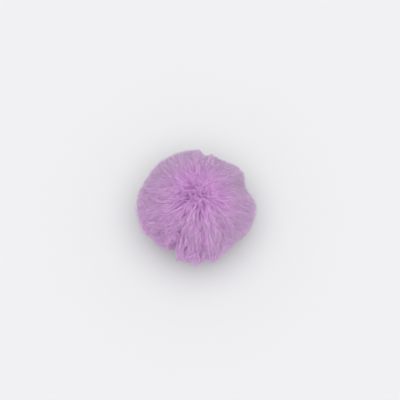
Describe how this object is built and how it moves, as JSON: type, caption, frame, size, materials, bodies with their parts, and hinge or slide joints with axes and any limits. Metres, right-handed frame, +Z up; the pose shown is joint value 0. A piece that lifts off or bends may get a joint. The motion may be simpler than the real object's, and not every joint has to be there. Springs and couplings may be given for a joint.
{
  "type": "pom pom",
  "caption": "Soft round pom pom of long lilac imitation fur, its pile leaning away from a crown at the top and flattened a little where it rests.",
  "frame": {"origin": "Middle of the flat spot that the pom pom rests on, on the surface under it", "axes": "+Z up out of the surface, +Y towards the top of the picture, +X to its right"},
  "size_m": [0.0802, 0.078, 0.0639],
  "materials": {
    "lilac_pile": "Long soft matt lilac pile of fine fibres in locks, paler at the tips and deeper towards the roots"
  },
  "bodies": {
    "root": {"pom_pom": "lilac_pile"}
  },
  "joints": []
}
